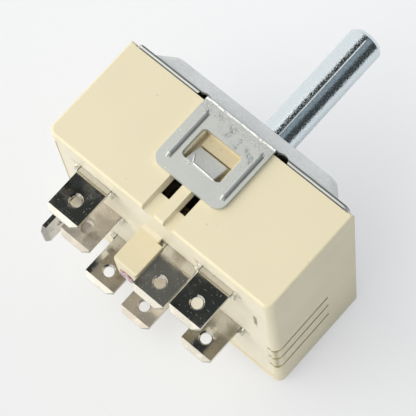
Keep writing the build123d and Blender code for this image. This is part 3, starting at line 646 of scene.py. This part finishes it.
def base_finish(name, colour):
    """The case's moulding, greyer, with grime round the flat blades' roots."""
    finish = moulding_finish(name, colour)
    tone = finish.shader.inputs["Base Color"].links[0].from_socket
    patches = finish.mask("Patches", Scale=420.0, Low=0.42, High=0.6, Detail=6.0)
    fine = finish.mask("Patches", Scale=1500.0, Low=0.45, High=0.6, Detail=4.0)
    back = corners("housing")[1][1]
    for node in filter(lies_flat, blade_nodes()):
        middle, level = blade_middle(node)
        root = finish.line((middle - EAR_REACH_MM, back, level), (middle + EAR_REACH_MM, back, level),
                           ROOT_WIDTH_MM, ROOT_WOBBLE_MM)
        tone = finish.tint(tone, finish.scaled(root, patches), GREASE_AND_SHADE, share=0.4)
        tone = finish.tint(tone, finish.scaled(root, fine), GRIME, share=0.45)
    block = finish.region((-FAR_MM, back + BLOCK_OUT_MM, -FAR_MM), (FAR_MM, 2 * FAR_MM, FAR_MM), soft=0.4)
    finish.set(Base_Color=finish.blend(block, tone, BLOCK_TONE))
    return finish


def zinc_finish(name, colour):
    """Zinc-plated sheet: light and satin, with grey smudges, white specks, worn edges and painted light
    on the plateau and tongue.
    """
    finish = Finish(name)
    cloud = finish.mask("Patches", Scale=190.0, Low=0.35, High=0.7, Detail=5.0)
    grain = finish.mask("Patches", Scale=3200.0, Low=0.38, High=0.62, Detail=2.0)
    plateau = finish.region((-FAR_MM, -FAR_MM, -FAR_MM), (FAR_MM, PLATEAU_Y_MM, FAR_MM), soft=0.2)
    low, high = corners("housing")
    top = high[2] + SHEET_MM
    tone = zinc_tone(finish, colour, (cloud, grain, plateau), top)
    worn = finish.either(*(finish.line(*scratch, top=top) for scratch in SCRATCHES_MM))
    finish.folded((low[2] + high[2]) / 2)
    tone, worn = plate_lines(finish, tone, worn, top)
    metal = finish.between(plateau, ZINC_METAL, PLATEAU_METAL)
    metal = finish.scaled(metal, finish.between(worn, 1.0, 0.0))
    finish.set(Base_Color=tone, Metallic=metal, Roughness=finish.between(cloud, 0.40, 0.52))
    finish.bump(grain, strength=0.2, distance=0.01 * MM)
    finish.bump(worn, strength=1.0, distance=0.22 * MM)
    return finish.material


def zinc_tone(finish, colour, masks, top):
    """Colour of the zinc: painted light that makes the plateau and tongue pale, clouded, smudged and
    dusty.
    """
    cloud, grain, plateau = masks
    patchy = finish.mask("Patches", Scale=700.0, Low=0.5, High=0.6, Detail=6.0)
    dust = finish.mask("Specks", Scale=1700.0, Size=0.2, Share=0.06)
    tongue = finish.region(*TONGUE_MM, soft=0.1, top=top)
    smudge = finish.either(*(finish.line(*line, top=top) for line in SMUDGES_MM))
    smudge = finish.scaled(finish.scaled(smudge, patchy), grain)
    # Painted light: the plateau wall and the tongue are made paler than the rest of the clip.
    pale = finish.either(finish.scaled(plateau, 0.95), finish.scaled(tongue, 0.5))
    tone = finish.blend(pale, colour, WEAR_AND_HIGHLIGHT_WHITE)
    tone = finish.tint(tone, cloud, darker(colour, 0.86), share=0.35)
    tone = finish.tint(tone, grain, darker(colour, 0.75), share=0.22)
    tone = finish.tint(tone, smudge, ZINC_SMUDGE, share=0.9)
    return finish.tint(tone, dust, WEAR_AND_HIGHLIGHT_WHITE, share=0.7)


def plate_lines(finish, tone, worn, top):
    """Lines on both clips: bright wear at the fold, partly a painted highlight, a darker tint on the
    beads with painted shadows beside them, the sheared edge with a painted gap shadow, and painted shade
    in the notches.
    """
    burr = finish.mask("Patches", Scale=1500.0, Low=0.30, High=0.5, Detail=4.0)
    flecks = finish.mask("Patches", Scale=3600.0, Low=0.60, High=0.66, Detail=2.0)
    # Bright wear at the fold, partly a painted highlight of the bend.
    fold = finish.scaled(finish.line(*FOLD_MM, top=top), burr)
    flecked = finish.scaled(finish.line(*FLECKED_MM, top=top), flecks)
    worn = finish.either(worn, fold, flecked)
    tone = finish.blend(worn, tone, WEAR_AND_HIGHLIGHT_WHITE)
    tone = finish.tint(tone, finish.region(*BEADS_MM, soft=0.12, top=top), ZINC_SMUDGE, share=0.22)
    for line in BEAD_SHADOWS_MM:
        # Painted shadows beside the beads.
        tone = finish.tint(tone, finish.line(*line, top=top), SHADE_AND_EDGE_BLACK, share=0.75)
    # Sheared edge, with a painted gap shadow on its outer side.
    for line, colour in SHEARED_LINES:
        tone = finish.blend(finish.line(*line, top=top), tone, colour)
    # Painted shade in the notches.
    for notch in NOTCHES_MM:
        tone = finish.blend(finish.region(*notch, soft=0.1, top=top), tone, SHADE_AND_EDGE_BLACK)
    return tone, worn


def shaft_highlight(finish):
    """Mask of the painted highlight, a bright line along the shaft."""
    low, high = corners("shaft")
    turn = radians(SHAFT_HIGHLIGHT_DEGREES)
    x = (low[0] + high[0]) / 2 + SHAFT_RADIUS_MM * cos(turn)
    z = (low[2] + high[2]) / 2 + SHAFT_RADIUS_MM * sin(turn)
    return finish.line((x, low[1] + SHAFT_HIGHLIGHT_START_MM, z), (x, high[1], z),
                       SHAFT_HIGHLIGHT_WIDTH_MM, SHAFT_HIGHLIGHT_WOBBLE_MM)


def shaft_finish(name, colour):
    """Bright plating with a soft mottle, drawing lines along the shaft, and a painted highlight line."""
    finish = Finish(name)
    mottle = finish.mask("Patches", Scale=3600.0, Low=0.46, High=0.58, Detail=3.0)
    lines = finish.mask("Scratches", Stretch=(1.0, 0.05, 1.0), Scale=1800.0, Low=0.4, High=0.7)
    painted_highlight = shaft_highlight(finish)
    tone = finish.tint(colour, mottle, darker(colour, 0.7), share=0.12)
    # Painted highlight: a white, non-metal line along the shaft.
    tone = finish.blend(painted_highlight, tone, WEAR_AND_HIGHLIGHT_WHITE)
    finish.set(Base_Color=tone, Metallic=finish.between(painted_highlight, 1.0, 0.0),
               Roughness=finish.between(mottle, 0.05, 0.3))
    finish.bump(mottle, strength=0.3, distance=0.02 * MM)
    finish.bump(lines, strength=0.08, distance=0.01 * MM)
    return finish.material


def ear_mask(finish, node):
    """Mask of a blade's two lock ears, beside its root."""
    low, high = corners(node)
    back = corners("housing")[1][1]
    middle, _ = blade_middle(node)
    masks = []
    for first, last in ((-EAR_REACH_MM, -BLADE_HALF_MM), (BLADE_HALF_MM, EAR_REACH_MM)):
        start = (middle + first, back - MARGIN_MM, low[2] - MARGIN_MM)
        stop = (middle + last, back + EAR_OUT_MM, high[2] + MARGIN_MM)
        masks.append(finish.region(start, stop, soft=0.05))
    return finish.either(*masks)


def tip_mask(finish, node):
    """Mask of a blade's bevelled tip."""
    low, high = corners(node)
    start = (low[0] - MARGIN_MM, high[1] - TIP_MM, low[2] - MARGIN_MM)
    stop = [part + MARGIN_MM for part in high]
    return finish.region(start, stop, soft=0.1)


def blade_finish(node, colour, haze):
    """Bright nickel on brass: mirror-like, with a grain, tan smudges, hairline scratches and pale lock
    ears as a painted highlight.
    """
    finish = Finish(node + " plating")
    smudge = finish.mask("Patches", Scale=380.0, Low=0.5, High=0.62, Detail=6.0)
    grain = finish.mask("Specks", Scale=3600.0, Size=0.3, Share=0.16)
    stain = finish.mask("Patches", Scale=240.0, Low=0.56, High=0.68, Detail=7.0)
    hairs = finish.mask("Scratches", Stretch=(1.0, 0.04, 1.0), Scale=2600.0, Low=0.68, High=0.75)
    curls = finish.mask("Patches", Scale=1100.0, Low=0.35, High=0.65, Detail=2.0)
    ears = ear_mask(finish, node)
    tip = finish.scaled(tip_mask(finish, node), finish.between(smudge, 1.0, 0.6))
    dull = finish.either(finish.scaled(grain, 0.3), finish.scaled(hairs, 0.13))
    tone = finish.tint(colour, smudge, darker(colour, 0.8), share=0.4)
    tone = finish.tint(tone, stain, BLADE_STAIN, share=0.6)
    # Painted highlight on the lock ears.
    tone = finish.blend(ears, tone, EAR_HIGHLIGHT_TONE)
    tone = finish.blend(tip, tone, darker(colour, TIP_SHADE))
    clear = maths(finish.tree, "SUBTRACT", 1.0 - haze, dull)
    rough = finish.either(finish.between(smudge, 0.07, 0.13), finish.scaled(ears, 0.3))
    finish.set(Base_Color=tone, Metallic=finish.scaled(clear, finish.between(ears, 1.0, 0.85)),
               Roughness=rough)
    finish.bump(hairs, strength=0.1, distance=0.01 * MM)
    finish.bump(finish.scaled(curls, ears), strength=1.0, distance=0.3 * MM)
    return finish.material


def lacquer_finish(name, colour):
    """Thin lacquer brushed over pale plastic, left in streaks."""
    finish = Finish(name)
    streaks = finish.mask("Scratches", Stretch=(1.0, 1.0, 0.3), Scale=1300.0, Low=0.42, High=0.56)
    tone = finish.blend(streaks, LACQUER_GROUND, colour)
    finish.set(Base_Color=tone, Roughness=finish.between(streaks, 0.4, 0.2))
    return finish.material


def plain_finish(name, colour, metallic, roughness):
    """Finish of a piece inside the case: one colour with clouds and a fine grain."""
    finish = Finish(name)
    clouds = finish.mask("Patches", Scale=300.0, Low=0.35, High=0.7, Detail=4.0)
    tone = finish.tint(colour, clouds, darker(colour, 0.75), share=0.6)
    finish.set(Base_Color=tone, Metallic=metallic,
               Roughness=finish.between(clouds, roughness, roughness + 0.15))
    finish.bump(clouds, strength=0.1, distance=0.02 * MM)
    return finish.material


def paper_finish():
    """Pale paper that the camera sees half as it is lit and half as a lightbox."""
    paper = Finish("Pale paper")
    paper.set(Base_Color=(*PAPER_COLOUR, 1), Roughness=0.85)
    tree = paper.tree
    path = add(tree, "ShaderNodeLightPath")
    parts = add(tree, "ShaderNodeSeparateXYZ")
    tree.links.new(paper.place, parts.inputs["Vector"])
    fade = cut(tree, parts.outputs["Y"], *PAPER_FADE)
    glow = add(tree, "ShaderNodeEmission")
    feed(tree, glow, Color=paper.blend(fade, PAPER_GLOW, PAPER_DIM_GLOW))
    share = maths(tree, "MULTIPLY", path.outputs["Is Camera Ray"], PAPER_SHARE)
    shown = switched(tree, share, paper.shader.outputs["BSDF"], glow.outputs["Emission"])
    tree.links.new(shown, paper.output.inputs["Surface"])
    return paper.material


def colours():
    """The scene's colour settings."""
    return bpy.context.scene.switch_colours


def sizes():
    """The scene's size settings."""
    return bpy.context.scene.switch_sizes


class SWITCH_OT_case(bpy.types.Operator):
    """Finishes the moulded case and the terminal base"""

    bl_idname = "switch.case"
    bl_label = "Case"

    def execute(self, context):
        case = moulding_finish("Cream moulding", colours().moulding).material
        base = base_finish("Base moulding", colours().base).material
        dress_node("housing", case, sizes().moulded_edge)
        dress_node("terminal_base", base, sizes().moulded_edge)
        return {"FINISHED"}


class SWITCH_OT_plate(bpy.types.Operator):
    """Finishes the front plate with its clips"""

    bl_idname = "switch.plate"
    bl_label = "Front plate"

    def execute(self, context):
        zinc = zinc_finish("Zinc plating", colours().zinc)
        dress_node("front_plate", zinc, sizes().stamped_edge)
        return {"FINISHED"}


class SWITCH_OT_terminals(bpy.types.Operator):
    """Finishes the eight blade terminals"""

    bl_idname = "switch.terminals"
    bl_label = "Terminals"

    def execute(self, context):
        for node in blade_nodes():
            haze = HAZE.get(node, 0.0)
            # Tan tone for the most hazed blades, partly a painted reflection.
            colour = HAZE_AND_REFLECTION_TONE if haze > TAN_HAZE else colours().blade
            plating = blade_finish(node, colour, haze)
            dress_node(node, plating, sizes().stamped_edge)
        return {"FINISHED"}


class SWITCH_OT_shaft(bpy.types.Operator):
    """Finishes the shaft"""

    bl_idname = "switch.shaft"
    bl_label = "Shaft"

    def execute(self, context):
        bright = shaft_finish("Shaft plating", colours().shaft)
        dress_node("shaft", bright, sizes().stamped_edge)
        return {"FINISHED"}


class SWITCH_OT_mechanism(bpy.types.Operator):
    """Gives the pieces inside the case their finishes"""

    bl_idname = "switch.mechanism"
    bl_label = "Mechanism"

    def execute(self, context):
        for name, colour, metallic, roughness, nodes in MECHANISM:
            material = plain_finish(name, colour, metallic, roughness)
            for node in nodes:
                wear(frame["nodes"][node], material)
        wear(frame["nodes"]["seal"], lacquer_finish("Lacquer", colours().lacquer))
        return {"FINISHED"}


def area_lamp(name, place, target, size, power, colour):
    """Soft square lamp at a place, facing a target."""
    data = bpy.data.lights.new(name, "AREA")
    data.shape = "SQUARE"
    data.size = size
    data.energy = power
    data.color = colour
    lamp = bpy.data.objects.new(name, data)
    bpy.context.scene.collection.objects.link(lamp)
    lamp.location = place
    aim = Vector(target) - Vector(place)
    lamp.rotation_euler = aim.to_track_quat("-Z", "Y").to_euler()


def camera_matrix():
    """Camera's place and turn as a matrix."""
    rows = zip(CAMERA_RIGHT, CAMERA_UP, CAMERA_BACK, metres(CAMERA_MM))
    return Matrix([*rows, (0, 0, 0, 1)])


def add_camera():
    """Camera at the photograph's viewing angle."""
    data = bpy.data.cameras.new("Camera")
    data.lens = FOCAL_PIXELS * SENSOR_MM / IMAGE_SIZE
    data.sensor_width = SENSOR_MM
    data.clip_start = CAMERA_NEAR
    camera = bpy.data.objects.new("Camera", data)
    bpy.context.scene.collection.objects.link(camera)
    camera.matrix_world = camera_matrix()
    bpy.context.scene.camera = camera


def toward_mask(tree, direction, outer, inner):
    """Soft mask of the world's directions within some degrees of one direction."""
    place = add(tree, "ShaderNodeTexCoord").outputs["Generated"]
    toward = vector_maths(tree, "DOT_PRODUCT", place, Vector(direction).normalized())
    return cut(tree, toward, cos(radians(outer)), cos(radians(inner)), interpolation_type="SMOOTHSTEP")


def background(tree, colour, strength):
    """World background with a colour and a strength."""
    node = add(tree, "ShaderNodeBackground")
    feed(tree, node, Color=colour, Strength=strength)
    return node.outputs["Background"]


def switched(tree, chosen, first, second):
    """Second shader for the rays that are chosen, first for the others."""
    node = add(tree, "ShaderNodeMixShader")
    tree.links.new(chosen, node.inputs["Fac"])
    tree.links.new(first, node.inputs[1])
    tree.links.new(second, node.inputs[2])
    return node.outputs["Shader"]


def mirrored_studio(tree):
    """Colour of the studio that metal mirrors: a bright and a dim side, and a dark wall."""
    side = toward_mask(tree, BRIGHT_SIDE, BRIGHT_OUTER, BRIGHT_INNER)
    grey = toward_mask(tree, GREY_TOWARD, GREY_OUTER, GREY_INNER)
    dark = toward_mask(tree, DARK_TOWARD, DARK_OUTER, DARK_INNER)
    room = mixed(tree, side, ROOM_DIM_COLOUR, ROOM_COLOUR)
    wall = mixed(tree, grey, DARK_COLOUR, GREY_COLOUR)
    return mixed(tree, dark, room, wall)


def world_light():
    """Soft light that is brighter on one side, the mirrored studio for metal, white for the camera."""
    world = bpy.data.worlds.new("Studio")
    bpy.context.scene.world = world
    world.use_nodes = True
    tree = world.node_tree
    tree.nodes.clear()
    path = add(tree, "ShaderNodeLightPath")
    side = toward_mask(tree, BRIGHT_SIDE, BRIGHT_OUTER, BRIGHT_INNER)
    soft = background(tree, mixed(tree, side, DIM_COLOUR, SOFT_COLOUR), SOFT_STRENGTH)
    mirrored = background(tree, mirrored_studio(tree), STUDIO_STRENGTH)
    white = background(tree, BACKDROP_COLOUR, BACKDROP_STRENGTH)
    shown = switched(tree, path.outputs["Is Glossy Ray"], soft, mirrored)
    shown = switched(tree, path.outputs["Is Camera Ray"], shown, white)
    output = add(tree, "ShaderNodeOutputWorld")
    tree.links.new(shown, output.inputs["Surface"])


class SWITCH_OT_stage(bpy.types.Operator):
    """Adds the floor, the studio light and the camera"""

    bl_idname = "switch.stage"
    bl_label = "Stage"

    def execute(self, context):
        low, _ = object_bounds()
        clear_selection()
        bpy.ops.mesh.primitive_plane_add(size=PAPER_SIZE, location=(0, 0, low[2] - PAPER_GAP))
        floor = bpy.context.object
        floor.name = "floor"
        wear(floor, paper_finish())
        floor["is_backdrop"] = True
        area_lamp("Key softbox", KEY_PLACE, KEY_TARGET, KEY_SIZE, KEY_WATTS, KEY_COLOUR)
        world_light()
        add_camera()
        context.scene.view_settings.view_transform = "Standard"
        return {"FINISHED"}


OPERATORS = (
    SWITCH_OT_case, SWITCH_OT_plate, SWITCH_OT_terminals, SWITCH_OT_shaft,
    SWITCH_OT_mechanism, SWITCH_OT_stage,
)


class SWITCH_PT_panel(bpy.types.Panel):
    """Lists the settings and the steps"""

    bl_idname = "SWITCH_PT_panel"
    bl_label = "Cooktop element switch"
    bl_space_type = "VIEW_3D"
    bl_region_type = "UI"
    bl_category = "Switch"

    def draw(self, context):
        for group in (context.scene.switch_colours, context.scene.switch_sizes):
            for name in group.__annotations__:
                self.layout.prop(group, name)
        for operator in OPERATORS:
            self.layout.operator(operator.bl_idname)


CLASSES = (SwitchColours, SwitchSizes, *OPERATORS, SWITCH_PT_panel)


def register():
    """Registers the classes and the scene's settings."""
    for one in CLASSES:
        bpy.utils.register_class(one)
    bpy.types.Scene.switch_colours = PointerProperty(type=SwitchColours)
    bpy.types.Scene.switch_sizes = PointerProperty(type=SwitchSizes)


def unregister():
    """Takes the settings and the classes away again."""
    del bpy.types.Scene.switch_sizes
    del bpy.types.Scene.switch_colours
    for one in reversed(CLASSES):
        bpy.utils.unregister_class(one)


def main():
    """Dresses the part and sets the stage."""
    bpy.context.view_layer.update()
    register()
    for group in (mottle_group, speck_group, scratch_group, line_group, region_group):
        group()
    for operator in OPERATORS:
        module, name = operator.bl_idname.split(".")
        getattr(getattr(bpy.ops, module), name)()


if __name__ == "__main__":
    main()
